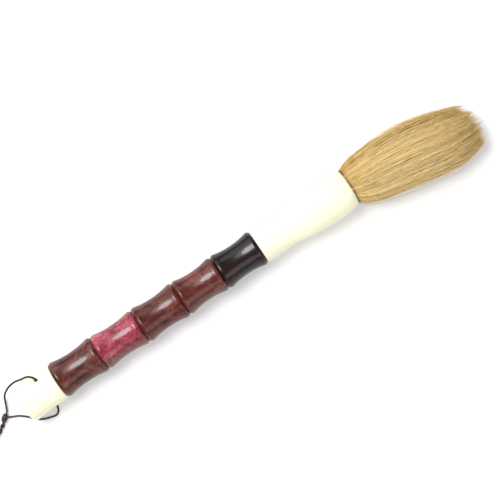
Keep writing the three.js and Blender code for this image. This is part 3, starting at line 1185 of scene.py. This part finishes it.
@dataclass(frozen=True)
class HangingCord:
    """The waxed cord through the tail cap: two strands, a knot, their twisted run, a small knot and a loop.

    Routes are (along, sideways, height over the table) in millimetres, from the tail end.

    Attributes:
        hole_station: The station of the cross hole.
        hole_lean: How far it leans from upright, in degrees.
        strand: The diameter of one strand.
        twisted: The diameter of the two together.
        pitch: The length of one full twist of the two strands.
        in_hole: Distances from the handle's line along the hole.
        upper: The upper strand's route from the hole to the knot.
        lower: The lower strand's route.
        twist: The route of the twisted run.
        loop: The route of the loop at the end.
    """

    hole_station: float
    hole_lean: float
    strand: float = 1.2
    twisted: float = 2.4
    pitch: float = 6.5
    in_hole: tuple[float, ...] = (0.3, 6, 10.2)
    upper: tuple[tuple[float, float, float], ...] = (
        (13.5, 5.8, 21.5), (12.7, 7.2, 22.3), (10.6, 8.8, 22.1), (7.4, 9.7, 20.9), (3.2, 10.9, 19.1),
        (-0.9, 11.3, 15.7), (-4, 11.6, 10.4), (-7, 11.2, 5.6), (-8.6, 9.9, 3), (-9.7, 7.9, 1.7),
        (-10.5, 6, 1.4), (-11.4, 3.9, 1.5), (-12.8, 2.3, 1.7),
    )
    lower: tuple[tuple[float, float, float], ...] = (
        (13.5, -6.2, 1.15), (13.3, -7.9, 0.75), (12.9, -9.6, 0.7), (12.1, -11.6, 0.7),
        (10.2, -12.8, 0.7), (6.9, -12.1, 0.7), (3, -10.7, 0.7), (-0.3, -8.5, 0.7), (-3.4, -5.1, 0.7),
        (-7.4, -1.8, 0.9), (-11, -0.1, 1.3), (-12.6, 0.7, 1.7),
    )
    twist: tuple[tuple[float, float, float], ...] = (
        (-15.3, 0.3, 1.6), (-16.8, -1.1, 1.4), (-18.6, -2.2, 1.3), (-20.4, -3.5, 1.3),
        (-23.8, -5.3, 1.3), (-27.4, -5.7, 1.3), (-30.4, -4, 1.3), (-31.7, -0.8, 1.3),
        (-30.8, 2.6, 1.3), (-28.9, 5.9, 1.3), (-26.8, 9.1, 1.3), (-25.4, 11.2, 1.3), (-24.3, 12.6, 1.4),
    )
    loop: tuple[tuple[float, float, float], ...] = (
        (-23.7, 13.6, 1.4), (-23.7, 15.2, 0.9), (-24, 18.2, 0.7), (-23.3, 21.6, 0.7), (-20.9, 24.3, 0.7),
        (-17.8, 24.4, 0.7), (-15.9, 22.2, 0.7), (-16.2, 19.2, 0.7), (-18.3, 16.5, 0.7),
        (-21.5, 14.4, 0.9), (-23.3, 13.5, 1.4),
    )

    STEPS = 12

    def strand_tree(self) -> ShapeTree:
        """Writes the tree that sweeps one laid strand along a route."""
        tree = ShapeTree("laid_strand")
        thick, lay = tree.number("Radius"), tree.number("Lay")
        path = tree.shape("GeometryNodeMeshToCurve", {"Mesh": tree.start})
        tilt = tree.get("GeometryNodeSplineParameter", "Length") / lay * TURN
        path = tree.shape("GeometryNodeSetCurveTilt", {"Curve": path, "Tilt": tilt})
        return tree.close(sweep(tree, path, round_section(tree, thick, 12, 3)))

    def twist_tree(self) -> ShapeTree:
        """Writes the tree that twists two strands round each other along a route."""
        tree = ShapeTree("twisted_strands")
        thick, lay, pitch = tree.number("Radius"), tree.number("Lay"), tree.number("Pitch")
        path = tree.shape("GeometryNodeMeshToCurve", {"Mesh": tree.start})
        tangent = tree.get("GeometryNodeInputTangent", "Tangent")
        normal = tree.get("GeometryNodeInputNormal", "Normal")
        across = tree.vectors("CROSS_PRODUCT", tangent, normal)
        distance = tree.get("GeometryNodeSplineParameter", "Length")
        strands = []
        for start in (0, math.pi):
            beside, over = tree.turned(thick, distance / pitch * TURN + start)
            offset = tree.moved(tree.scaled(normal, beside), tree.scaled(across, over))
            moved = {"Geometry": path, "Offset": offset}
            strand = tree.shape("GeometryNodeSetPosition", moved)
            turned = {"Curve": strand, "Tilt": distance / lay * TURN}
            strand = tree.shape("GeometryNodeSetCurveTilt", turned)
            strands.append(sweep(tree, strand, round_section(tree, thick, 12, 3)))
        return tree.close(tree.joined(strands))

    def out_of_hole(self, direction: int, route: Sequence[Sequence[float]], line: HandleLine) -> list[Vector]:
        """Leads a strand from the middle of the cross hole, straight out of it, and on along its route.

        Args:
            direction: 1 for the hole's upper end, -1 for its lower one.
            route: The rest of the route.
            line: The handle's line.

        Returns:
            The points of its smooth line, in the scene.
        """
        lean = math.radians(self.hole_lean)
        inside = [
            line.at(self.hole_station, direction * reach * math.sin(lean), direction * reach * math.cos(lean))
            for reach in self.in_hole
        ]
        return smooth_through([*inside, *(line.on_table(point) for point in route)], self.STEPS)

    def knot(
        self, name: str, at: Sequence[float], size: tuple[float, float], turn: float, line: HandleLine
    ) -> bpy.types.Object:
        """Winds a knot: a few turns of the strand over a core, with one more turn slanting across them.

        Args:
            name: The piece's name.
            at: Its middle, as a route's point.
            size: Its length and width in millimetres.
            turn: Its direction on the table, in degrees.
            line: The handle's line.

        Returns:
            The knot.
        """
        length, width = size
        thread = self.strand / 2 * 0.9
        waxed = bpy.data.materials["waxed_cord"]
        parts = []
        # Each winding's slant in degrees, its turns, its length and its radius.
        plan = ((0, 3.4, length - 2 * thread, width / 2 - thread), (62, 1.25, length * 0.25, width * 0.42))
        for number, (slant, turns, run, radius) in enumerate(plan):
            sizes = {
                "Turns": turns, "Length": run * MM, "Ends": radius * 0.72 * MM, "Middle": radius * MM,
                "Thread": thread * MM,
            }
            part = winding_tree(90).make(f"{name}_turns_{number}", waxed, sizes)
            part.data.transform(Matrix.Rotation(math.radians(slant), 4, "Z"))
            parts.append(part)
        half, radius = length * 0.42, width * 0.36
        angles = (math.pi * step / 10 for step in range(1, 10))
        rounded = [(-half * math.cos(angle), radius * math.sin(angle)) for angle in angles]
        core = [(-half, 0), *rounded, (half, 0)]
        parts.append(dress(lathe(f"{name}_core", core, 20), waxed))
        knot = join_parts(name, parts)
        squash = Matrix.Diagonal((1, 1, 0.86, 1))
        heading = Matrix.Rotation(math.radians(turn), 4, "Z")
        knot.data.transform(Matrix.Translation(line.on_table(at)) @ heading @ squash)
        return knot

    def build(self, line: HandleLine) -> None:
        """Makes the cord's six pieces and logs the lengths of its four free stretches.

        Args:
            line: The handle's line.
        """
        waxed = WAXED.build()
        strand = self.strand_tree()
        sizes = {"Radius": self.strand / 2 * MM, "Lay": 4.2 * MM}
        ends = {"cord_upper_strand": (1, self.upper), "cord_lower_strand": (-1, self.lower)}
        routes = {name: self.out_of_hole(way, route, line) for name, (way, route) in ends.items()}
        routes["end_loop"] = smooth_through([line.on_table(p) for p in self.loop], self.STEPS)
        twisted = smooth_through([line.on_table(p) for p in self.twist], self.STEPS)
        made = {name: strand.make(f"waxed_{name}", waxed, sizes, route) for name, route in routes.items()}
        routes["twisted_cord"] = twisted
        both = {**sizes, "Pitch": self.pitch * MM}
        made["twisted_cord"] = self.twist_tree().make("waxed_twisted_cord", waxed, both, twisted)
        made["loop_knot"] = self.knot("waxed_loop_knot", (-14.1, 1.4, 1.75), (4.9, 3.7), 38, line)
        made["end_knot"] = self.knot("waxed_end_knot", (-23.8, 13.4, 1.5), (3.5, 3.1), 56, line)
        for node, piece in made.items():
            finish_piece(piece, Body.CORD, Slot.CORD, node)
        self.declare(made, routes)

    def declare(self, made: dict[str, bpy.types.Object], routes: dict[str, list[Vector]]) -> None:
        """Logs each free stretch's length.

        Args:
            made: The pieces by the node that they stand for.
            routes: The stretches' lines.
        """
        ends = {
            "cord_upper_strand": ("knot", self.strand, [made["loop_knot"]]),
            "cord_lower_strand": ("knot", self.strand, []),
            "twisted_cord": ("knot", self.twisted, [made["end_knot"]]),
            "end_loop": ("object", self.strand, []),
        }
        for name, (far_end, diameter, on_it) in ends.items():
            route = routes[name]
            length = sum((b - a).length for a, b in zip(route, route[1:]))
            diameter * MM
            LOG.info("%s: %.1f mm long", name, length / MM)


def join_parts(name: str, parts: Sequence[bpy.types.Object]) -> bpy.types.Object:
    """Joins objects into one.

    Args:
        name: The new object's name.
        parts: The objects, which are used up.

    Returns:
        The new object.
    """
    tree = ShapeTree(f"{name}_parts")
    shapes = [tree.get("GeometryNodeObjectInfo", "Geometry", {"Object": part}) for part in parts]
    made = tree.close(tree.joined(shapes)).make(name, parts[0].data.materials[0], {})
    for part in parts:
        bpy.data.objects.remove(part)
    return made


# -------------------------------------------------------------------------------------------------- hair


@dataclass(frozen=True)
class TuftSection:
    """A cross-section of the tuft, in millimetres.

    Attributes:
        distance: From the ferrule's mouth.
        drift: How far its middle lies sideways.
        half_width: Half its width.
        droop: How far its middle lies below the handle's line.
        half_height: Half its height.
    """

    distance: float
    drift: float
    half_width: float
    droop: float
    half_height: float


@dataclass(frozen=True)
class HairLayer:
    """A share of the tuft's hairs.

    Attributes:
        name: The piece's name.
        count: How many hairs it has.
        inner: The smallest share of the section's radius that they stand at.
        outer: The largest.
        reach: How far they reach from the mouth, in millimetres.
        seed: What fixes their places.
    """

    name: str
    count: int
    inner: float
    outer: float
    reach: float
    seed: int


class HairTree(ShapeTree):
    """The tree that grows one layer of hairs.

    Each hair starts at its own point of the tuft's section, with the tuft's half width as 1. Towards the tip
    it is drawn to the middles of its fine, its small and its broad lock and of the flat wisp that it ends
    in, and no hair goes below the table. Distances from the mouth are in metres.
    """

    # Where hairs start and where the rules of the sections end, in millimetres from the mouth.
    ROOT, FAR = -1.6, 80.0
    # The largest size that a rule of the sections can hold, in millimetres.
    WIDEST = 20.0
    # How many points a hair has, and how much closer they stand near the mouth.
    POINTS, CROWD = 10, 1.7
    # How many locks of each kind stand across the tuft's radius.
    BROAD, SMALL, FINE, WISP = 4.5, 13.0, 34.0, 9.0
    # How far the table falls from the handle's line, for each unit along it.
    TABLE_FALL = 0.005

    def __init__(self, sections: Sequence[TuftSection], table: float) -> None:
        """Plants the hairs and works out how far from the mouth each of their points is.

        Args:
            sections: The tuft's cross-sections, from the mouth to the tips.
            table: How far the table lies below the handle's line at the mouth, in millimetres.
        """
        super().__init__("hair_layer")
        self.sections, self.table = sections, table
        count, self.seed = self.count("Count"), self.count("Seed")
        inner, outer = self.number("Inner"), self.number("Outer")
        self.reach, self.thick = self.number("Reach"), self.number("Thickness")
        self.root = self.named("root", "FLOAT_VECTOR")
        self.x, self.y, _ = self.split(self.root)
        self.ring = self.math("SQRT", self.mix(self.own_chance(1), inner * inner, outer * outer))
        self.hairs = self.planted(count)
        self.share = self.get("GeometryNodeSplineParameter", "Factor")
        start = self.ROOT * MM
        self.distance = (self.longest() - start) * self.share ** self.CROWD + start
        self.reached = self.distance / (self.FAR * MM)
        self.late = self.ease(self.reached, 0.25, 1.0)

    def own_chance(self, step: int) -> Field:
        """Gives a random number for each hair, from the layer's seed."""
        return self.chance(self.seed + step)

    def lock(self, scale: float, output: str, at: Field | None = None) -> Field:
        """Reads the locks of one kind."""
        asked = {"Vector": at or self.root, "Scale": scale}
        return self.get("ShaderNodeTexVoronoi", output, asked, voronoi_dimensions="2D")

    def lock_chance(self, scale: float, which: int) -> Field:
        """Gives one of three random numbers that each lock of one kind has."""
        return self.split(self.lock(scale, "Color"))[which]

    def wisp(self, output: str) -> Field:
        """Reads the flat wisps that the tips end in, which reach from the table to the tuft's top."""
        return self.lock(self.WISP, output, self.join(self.x, self.y * 0.25, 0.0))

    def planted(self, count: Field) -> Field:
        """Plants straight hairs, and stores what sets each of them apart.

        Args:
            count: How many hairs.

        Returns:
            The hairs, as lines.
        """
        line = self.shape("GeometryNodeCurvePrimitiveLine", {"Start": (0, 0, 0), "End": (1, 0, 0)})
        line = self.shape("GeometryNodeResampleCurve", {"Curve": line, "Count": self.POINTS})
        many = {"Geometry": line, "Amount": count}
        hairs = self.shape("GeometryNodeDuplicateElements", many, domain="SPLINE")
        angle = self.own_chance(2) * TURN
        root = self.join(*self.turned(self.ring, angle), 0.0)
        hairs = self.store(hairs, "root", root, "CURVE", "FLOAT_VECTOR")
        for step, name in enumerate(("tint", "cut", "stray"), 3):
            hairs = self.store(hairs, name, self.own_chance(step), "CURVE")
        shade = self.lock_chance(self.SMALL, 0) * 0.35 + self.lock_chance(self.FINE, 0) * 0.65
        return self.store(hairs, "lock", shade, "CURVE")

    def longest(self) -> Field:
        """Gives the distance at which each hair ends, in ragged locks and pointed wisps."""
        locks = self.lock_chance(self.BROAD, 1) * 2.5 + self.lock_chance(self.SMALL, 1) * 3.0
        locks = locks + self.lock_chance(self.FINE, 2) * 2.5 - self.lock(self.SMALL, "Distance") * 4.0
        wisps = self.split(self.wisp("Color"))[0] * 4.5 - self.wisp("Distance") * 9.0
        rounding = self.ring ** 4.0 * 2.0
        cut = self.named("cut")
        return self.reach + (locks + wisps - 1.4 - rounding) * MM - cut * cut * (4 * MM)

    def gathered(self) -> tuple[Field, Field]:
        """Draws each hair to the middles of its locks, and its tip to the middle of its wisp.

        Returns:
            Its place in the section, sideways and upwards. A hair outside the tuft keeps to itself.
        """
        kept = 1 - self.ease(self.ring, 1.0, 1.04)
        pulls = {
            self.FINE: (self.late * 0.2 + 0.55) * kept,
            self.SMALL: (self.late * self.late * 0.5 + 0.04) * kept,
            self.BROAD: self.late * self.late * 0.2 * kept,
        }
        x, y = self.x, self.y
        for scale, pull in pulls.items():
            middle_x, middle_y, _ = self.split(self.lock(scale, "Position"))
            x, y = self.mix(pull, x, middle_x), self.mix(pull, y, middle_y)
        wisp_x, _, _ = self.split(self.wisp("Position"))
        at_tip = self.ease(self.reached, 0.6, 1.0)
        return self.mix(at_tip * kept * 0.6, x, wisp_x), y

    def swayed(self) -> tuple[Field, Field]:
        """Gives how far each point sways, sideways and upwards, with its neighbours and on its own."""
        shared = self.moved(self.scaled(self.root, 2.6), self.join(0.0, 0.0, self.distance / (26 * MM)))
        own = self.join(self.named("tint") * 40.0, self.named("cut") * 40.0, self.distance / (17 * MM))
        sway = self.late * 0.17 + 0.02
        loose = (self.late * 0.26 + 0.045) * (self.named("stray") ** 5.0 * 2.4 + 0.9)
        moves = []
        for at, detail, size in ((shared, 2.0, sway), (own, 1.0, loose)):
            asked = {"Vector": at, "Scale": 1.0, "Detail": detail}
            x, y, _ = self.split(self.get("ShaderNodeTexNoise", "Color", asked))
            moves.append(((x - 0.5) * size, (y - 0.5) * size))
        (shared_x, shared_y), (own_x, own_y) = moves
        return shared_x + own_x, shared_y + own_y

    def rule(self, key: str) -> Field:
        """Looks one size of the sections up at the points' distance from the mouth.

        Args:
            key: The name of the size.

        Returns:
            The size, in metres.
        """
        span = self.FAR - self.ROOT
        rule = [
            ((section.distance - self.ROOT) / span, 0.5 + getattr(section, key) / (2 * self.WIDEST))
            for section in self.sections
        ]
        share = (self.distance / MM - self.ROOT) / span
        return (self.by_rule(share, rule) - 0.5) * (2 * self.WIDEST * MM)

    def laid(self) -> Field:
        """Lays the hairs into the tuft, above the table.

        Returns:
            The hairs, with how far along and how deep each point lies.
        """
        x, y = self.gathered()
        sway_x, sway_y = self.swayed()
        stand = (self.lock_chance(self.FINE, 1) - 0.6) * (self.late * 0.1 + 0.08) + 1
        in_bore = self.math("MINIMUM", 0.99 / self.ring, 1.0)
        held = self.mix(self.ease(self.reached, 0.0, 0.45), in_bore, 1.0)
        x, y = (x * stand + sway_x) * held, (y * stand + sway_y) * held
        sideways = self.rule("drift") + self.rule("half_width") * x
        height = self.rule("half_height") * y - self.rule("droop")
        table = self.distance * -self.TABLE_FALL - (self.table * MM - self.thick * 0.7)
        height = self.math("SMOOTH_MAX", height, table, 0.7 * MM)
        depth = 1 - self.math("SQRT", x * x + y * y)
        hairs = self.store(self.hairs, "along", self.reached, "POINT")
        hairs = self.store(hairs, "depth", depth, "POINT")
        placed = {"Geometry": hairs, "Position": self.join(self.distance, sideways, height)}
        return self.shape("GeometryNodeSetPosition", placed)

    def grown(self) -> "HairTree":
        """Ends the tree with thin tapering hairs along the lines."""
        section = {"Resolution": 3, "Radius": self.thick / 2}
        section = self.shape("GeometryNodeCurvePrimitiveCircle", section)
        taper = self.by_rule(self.share, [(0, 1), (0.72, 0.96), (0.9, 0.66), (1, 0.2)])
        hair = {"Curve": self.laid(), "Profile Curve": section, "Scale": taper, "Fill Caps": True}
        return self.close(self.shape("GeometryNodeCurveToMesh", hair))


@dataclass(frozen=True)
class Tuft:
    """The loose hair of the brush.

    Attributes:
        mouth: The station of the ferrule's mouth, in millimetres.
        table: How far the table lies below the handle's line at the mouth.
        sections: The cross-sections, from the mouth to the tips.
        layers: The hairs.
        thickness: A hair's diameter.
        bend_end: How far from the mouth the hair follows the tuft fully.
    """

    mouth: float
    table: float
    sections: tuple[TuftSection, ...]
    layers: tuple[HairLayer, ...]
    thickness: float = 0.17
    bend_end: float = 42

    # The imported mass: its share of the sections' size, how deep in the bore it starts and its radius there.
    MASS_SHARE, MASS_ROOT, MASS_ROOT_RADIUS = 0.9, 8, 8.6
    # It uses the sections before this distance, ends in a dome of this height and stays above the table.
    MASS_END, MASS_DOME, MASS_CLEARANCE = 66, 4.5, 0.3

    def mass(self) -> bpy.types.Object:
        """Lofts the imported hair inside, which closes the gaps between the loose hairs.

        Returns:
            The mass, from the mouth.
        """
        sides, steps = 72, 8
        inner = [section for section in self.sections if section.distance < self.MASS_END]
        spots = [Vector((section.distance, section.drift, section.half_width)) for section in inner]
        heights = [Vector((section.distance, section.droop, section.half_height)) for section in inner]
        inside = Vector((-self.MASS_ROOT, 0, self.MASS_ROOT_RADIUS / self.MASS_SHARE))
        rings = [(inside, inside, self.MASS_SHARE)]
        smooth = zip(smooth_through(spots, 6), smooth_through(heights, 6))
        rings += [(wide, high, self.MASS_SHARE) for wide, high in smooth]
        last_wide, last_high, _ = rings[-1]
        for step in range(1, steps + 1):
            angle = math.pi / 2 * step / steps
            on = Vector((self.MASS_DOME * math.sin(angle), 0, 0))
            rings.append((last_wide + on, last_high + on, self.MASS_SHARE * max(math.cos(angle), 0.02)))
        corners = []
        for wide, high, size in rings:
            for side in range(sides):
                angle = TURN * side / sides
                y = wide.y + wide.z * size * math.cos(angle)
                z = max(high.z * size * math.sin(angle) - high.y, self.MASS_CLEARANCE - self.table)
                corners.append(Vector((wide.x, y, z)) * MM)
        faces = [list(range(sides))]
        for ring in range(len(rings) - 1):
            for side in range(sides):
                low, after = ring * sides + side, ring * sides + (side + 1) % sides
                faces.append([low, low + sides, after + sides, after][::-1])
        faces.append([(len(rings) - 1) * sides + side for side in reversed(range(sides))])
        mesh = bpy.data.meshes.new("packed_hair")
        mesh.from_pydata([tuple(corner) for corner in corners], [], faces)
        return freeze(new_object("packed_hair", mesh))

    def build(self, line: HandleLine) -> None:
        """Grows the layers and the mass and places them at the mouth.

        Args:
            line: The handle's line.
        """
        hair = HAIR.build()
        tree = HairTree(self.sections, self.table).grown()
        pieces = [dress(self.mass(), SHADED_PACKED.build())]
        for layer in self.layers:
            sizes = {
                "Count": layer.count, "Seed": layer.seed, "Inner": layer.inner, "Outer": layer.outer,
                "Reach": layer.reach * MM, "Thickness": self.thickness * MM,
            }
            pieces.append(tree.make(layer.name, hair, sizes))
        replaced = {"packed_hair": "hair_core", self.layers[0].name: "hair_mantle"}
        for piece in pieces:
            line.place(piece, self.mouth)
            start, end = line.at(self.mouth), line.at(self.mouth + self.bend_end)
            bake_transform(piece)
            if piece.name in replaced:
                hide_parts(replaced[piece.name])
            LOG.info("%s: %d faces", piece.name, len(piece.data.polygons))


# ------------------------------------------------------------------------------------------------ studio


def facing(eye: Vector, aim: Vector, up: Vector) -> Matrix:
    """Gives the place of something that looks from one point at another.

    Args:
        eye: Where it is.
        aim: What it looks at.
        up: The direction that its own up leans towards.

    Returns:
        The matrix.
    """
    back = (eye - aim).normalized()
    right = up.cross(back).normalized()
    axes = Matrix((right, back.cross(right), back)).transposed().to_4x4()
    return Matrix.Translation(eye) @ axes


@dataclass(frozen=True)
class Studio:
    """The pale table, the lights and the camera.

    Attributes:
        eye: The camera's place on the handle's line, in millimetres: along, sideways, above.
        aim: What it looks at.
        heading: The direction on the table that is up in the picture, in degrees from +Y towards +X.
        lens: The camera's focal length for a sensor 36 mm wide.
    """

    eye: tuple[float, float, float] = (127.4, -150.8, 711.5)
    aim: tuple[float, float, float] = (145.7, 1.1, 0)
    heading: float = 33.4
    lens: float = 97.95

    # Half the table's side and its height in metres, and the strength of the world's soft light.
    TABLE_HALF, TABLE_TOP, SKY = 4.0, -0.06 * MM, 0.38

    def camera(self, line: HandleLine) -> None:
        """Sets the camera up."""
        data = bpy.data.cameras.new("camera")
        data.sensor_width, data.lens = 36, self.lens
        data.clip_start, data.clip_end = 0.01, 50
        eye, turn = line.at(*self.eye), math.radians(self.heading)
        camera = new_object("camera", data)
        camera.matrix_world = facing(eye, line.at(*self.aim), Vector((math.sin(turn), math.cos(turn), 0)))
        bpy.context.scene.camera = camera

    def light(self, name: str, at: Sequence[float], size: tuple[float, float], power: float) -> None:
        """Hangs a softbox that faces the middle of the brush.

        Args:
            name: The light's name.
            at: Its place, in metres.
            size: Its size along the brush and across it, in metres.
            power: Its power in watts.
        """
        data = bpy.data.lights.new(name, "AREA")
        data.shape, data.energy = "ELLIPSE", power
        data.size, data.size_y = size
        new_object(name, data).matrix_world = facing(Vector(at), Vector(), SIDE)

    def table(self) -> None:
        """Lays the plain pale table."""
        half, low = self.TABLE_HALF, self.TABLE_TOP
        mesh = bpy.data.meshes.new("table")
        corners = [(-half, -half, low), (half, -half, low), (half, half, low), (-half, half, low)]
        mesh.from_pydata(corners, [], [(0, 1, 2, 3)])
        tree = FinishTree("pale_table")
        cloud = tree.noise(0.01, 2)
        tree.set(Base_Color=tree.blend(cloud, (0.50, 0.495, 0.495), (0.515, 0.51, 0.51)), Roughness=0.8)
        tree.set(Specular_IOR_Level=0.1, Emission_Color=(1, 1, 1, 1), Emission_Strength=0.36)
        dress(new_object("table", mesh), tree.material)

    def build(self) -> None:
        """Lays the table, hangs the lights and sets the world's soft light."""
        scene = bpy.context.scene
        scene.view_settings.view_transform = "Standard"
        scene.view_settings.look = "None"
        self.table()
        self.light("softbox", (-0.32, 0.24, 1.0), (0.42, 0.56), 8.5)
        self.light("softbox_rim", (-0.34, 0.3, 1.05), (0.85, 1.0), 5.5)
        self.light("far_fill", (-0.1, 0.95, 0.75), (1.2, 0.9), 4)
        self.light("near_fill", (0.1, -1.2, 0.8), (1.6, 0.9), 6.5)
        world = bpy.data.worlds.new("studio")
        world.use_nodes = True
        sky = world.node_tree.nodes["Background"].inputs
        sky["Color"].default_value, sky["Strength"].default_value = (1, 1, 1, 1), self.SKY
        scene.world = world


# ---------------------------------------------------------------------------------------------- assembly

RED_BROWN_STONE = StoneFinish(
    "red_brown_stone", *shades((36, 8, 6), (76, 25, 19), (118, 70, 60), (84, 60, 48), (34, 18, 16)),
    patches=0.55, sides=(0, 0), flecks=0.4, offset=(11, 3, 7),
)
PINK_STONE = StoneFinish(
    "pink_stone", *shades((92, 16, 33), (152, 54, 72), (192, 106, 112), (98, 70, 60), (44, 16, 18)),
    patches=0.35, sides=(0.5, 1), flecks=0.9, offset=(41, 17, 23),
)
RUSSET_STONE = StoneFinish(
    "russet_stone", *shades((42, 10, 7), (82, 25, 17), (116, 64, 50), (82, 60, 44), (34, 18, 14)),
    patches=0.4, sides=(0.3, 0), flecks=0.5, offset=(83, 29, 2),
)
ROSE_BROWN_STONE = StoneFinish(
    "rose_brown_stone", *shades((46, 12, 10), (86, 30, 25), (128, 74, 60), (92, 60, 48), (38, 18, 16)),
    patches=0.35, sides=(0, 0.5), flecks=0.4, offset=(5, 51, 31),
)
BLACK_STONE = StoneFinish(
    "black_stone", *shades((7, 3, 3), (13, 6, 6), (52, 14, 14), (20, 15, 14), (50, 30, 28)),
    patches=0.3, sides=(0, 0), flecks=0.2, offset=(23, 13, 61),
)

CAP_LENGTH = 22
# The resin fills the bottom of the hair bore, and the root's first stretch above it is not bound.
RESIN_DEPTH = 4
BARE_ROOT = 1.5
BEADS = (
    Bead(26.5, 10.45, 9.2, Slot.RED_BROWN, RED_BROWN_STONE),
    Bead(26.0, 10.2, 9.05, Slot.PINK, PINK_STONE),
    Bead(25.9, 10.4, 9.1, Slot.RUSSET, RUSSET_STONE),
    Bead(24.9, 10.2, 8.9, Slot.ROSE_BROWN, ROSE_BROWN_STONE),
    Bead(25.0, 10.25, 8.95, Slot.BLACK, BLACK_STONE),
)
TUFT_SECTIONS = (
    TuftSection(-1.6, 0, 9.1, 0, 9.1),
    TuftSection(0, 0, 9.5, 0, 9.5),
    TuftSection(1.5, 0, 10.5, 0, 10.4),
    TuftSection(5, -0.9, 12.5, 0, 11.3),
    TuftSection(10, -1.4, 14.1, 0, 12),
    TuftSection(17, -2.1, 15.2, 0.1, 12.4),
    TuftSection(26, -2.9, 16.1, 0.3, 12.5),
    TuftSection(37, -4.2, 16.8, 0.7, 12.2),
    TuftSection(46, -5.3, 17, 1.2, 11.6),
    TuftSection(55, -6.9, 16.3, 1.9, 10.6),
    TuftSection(64, -7.7, 15.2, 2.8, 9.3),
    TuftSection(70, -8.1, 13.5, 3.4, 8.2),
    TuftSection(76, -8.5, 11.8, 4.0, 7.2),
)
HAIR_LAYERS = (
    HairLayer("outer_hair_1", 3450, 0.9, 1.0, 73.5, 10),
    HairLayer("outer_hair_2", 3450, 0.86, 1.0, 73.5, 20),
    HairLayer("outer_hair_3", 3450, 0.78, 0.97, 74.0, 30),
    HairLayer("middle_hair", 3450, 0.5, 0.9, 74.5, 40),
    HairLayer("inner_hair", 3450, 0.0, 0.7, 75.5, 50),
    HairLayer("stray_hair", 36, 1.03, 1.2, 68.0, 60),
)


def main() -> None:
    """Builds the brush and its studio."""
    logging.basicConfig(level=logging.INFO, format="%(message)s")
    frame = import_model()
    line = HandleLine.from_frame(CAP_LENGTH + BEADS[0].length / 2)
    studio = Studio()
    studio.camera(line)

    ferrule_start = CAP_LENGTH + sum(bead.length for bead in BEADS)
    fittings = BoneFittings(ferrule_start)
    HangingCord(fittings.hole_station, fittings.hole_lean).build(line)
    fittings.build(line)
    StoneBeads(CAP_LENGTH, BEADS).build(line)
    mouth = ferrule_start + fittings.ferrule_length
    root_start = mouth - fittings.HAIR_BORE_DEPTH + RESIN_DEPTH
    InnerPieces(root_start + BARE_ROOT).build(line, frame["nodes"])
    Tuft(mouth, line.at(mouth).z / MM, TUFT_SECTIONS, HAIR_LAYERS).build(line)
    studio.build()


if __name__ == "__main__":
    main()
